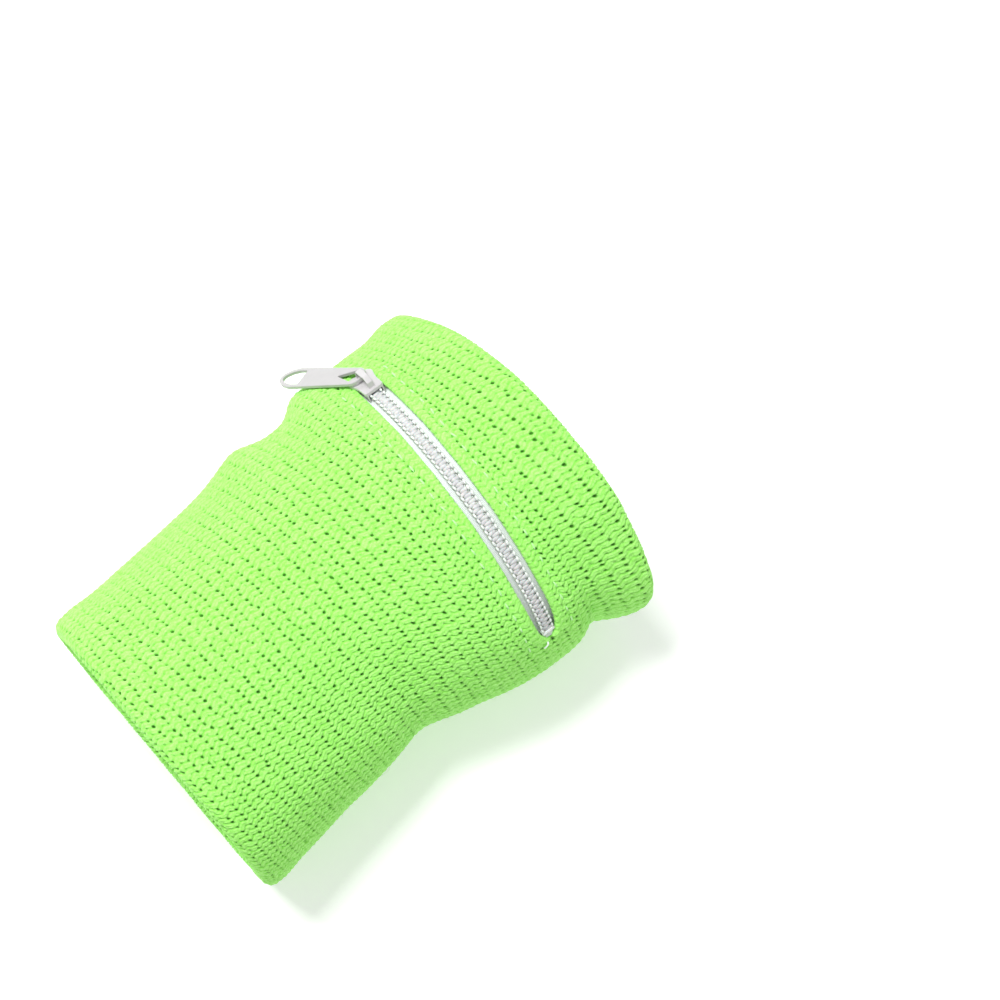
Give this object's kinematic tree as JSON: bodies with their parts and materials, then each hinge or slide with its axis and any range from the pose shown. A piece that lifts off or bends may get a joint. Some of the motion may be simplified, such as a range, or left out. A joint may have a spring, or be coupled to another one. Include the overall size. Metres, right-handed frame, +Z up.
{
  "type": "zip pocket wristband",
  "caption": "Doubled tube of elastic knit worn on the wrist, with a flat pocket that a curved zip closes.",
  "frame": {"origin": "middle of the flat underside that the band rests on, half way along the sleeve", "axes": "+X along the sleeve towards the hand end, +Y towards the side where the closed slider rests, +Z up through the zip"},
  "size_m": [0.097, 0.0801, 0.0504],
  "materials": {
    "knit": "matte",
    "lining_knit": "matte",
    "seam_thread": "matte",
    "woven_tape": "matte",
    "coil_nylon": "satin",
    "sewing_thread": "matte",
    "white_lacquer": "satin"
  },
  "bodies": {
    "sleeve": {"outer_sleeve": "knit", "inner_lining": "lining_knit", "hand_end_seam": "seam_thread", "forearm_end_seam": "seam_thread", "tape_hand_side": "woven_tape", "tape_forearm_side": "woven_tape", "coil_hand_side": "coil_nylon", "coil_forearm_side": "coil_nylon", "filler_cord_hand_side": "sewing_thread", "filler_cord_forearm_side": "sewing_thread", "coil_stitch_hand_side": "sewing_thread", "coil_stitch_forearm_side": "sewing_thread", "top_stop_hand_side": "white_lacquer", "top_stop_forearm_side": "white_lacquer", "bottom_stop": "coil_nylon", "zip_seam_hand_side": "sewing_thread", "zip_seam_forearm_side": "sewing_thread", "closed_end_bartack": "sewing_thread", "slider_end_bartack": "sewing_thread"},
    "slider": {"slider_body": "white_lacquer"},
    "pull": {"pull_tab": "white_lacquer"}
  },
  "joints": [
    {"name": "slider_travel", "type": "hinge", "parent": "sleeve", "child": "slider", "pos_m": [0.0281, 0, 0.01108], "axis": [0.9993, -0.0384, 0], "range_deg": [0, 95], "deforming": ["coil_hand_side", "coil_forearm_side"]},
    {"name": "pull_flip", "type": "hinge", "parent": "slider", "child": "pull", "pos_m": [0.02931, 0.03136, 0.03723], "axis": [0.9017, 0.2604, -0.3452], "range_deg": [0, 105]}
  ]
}
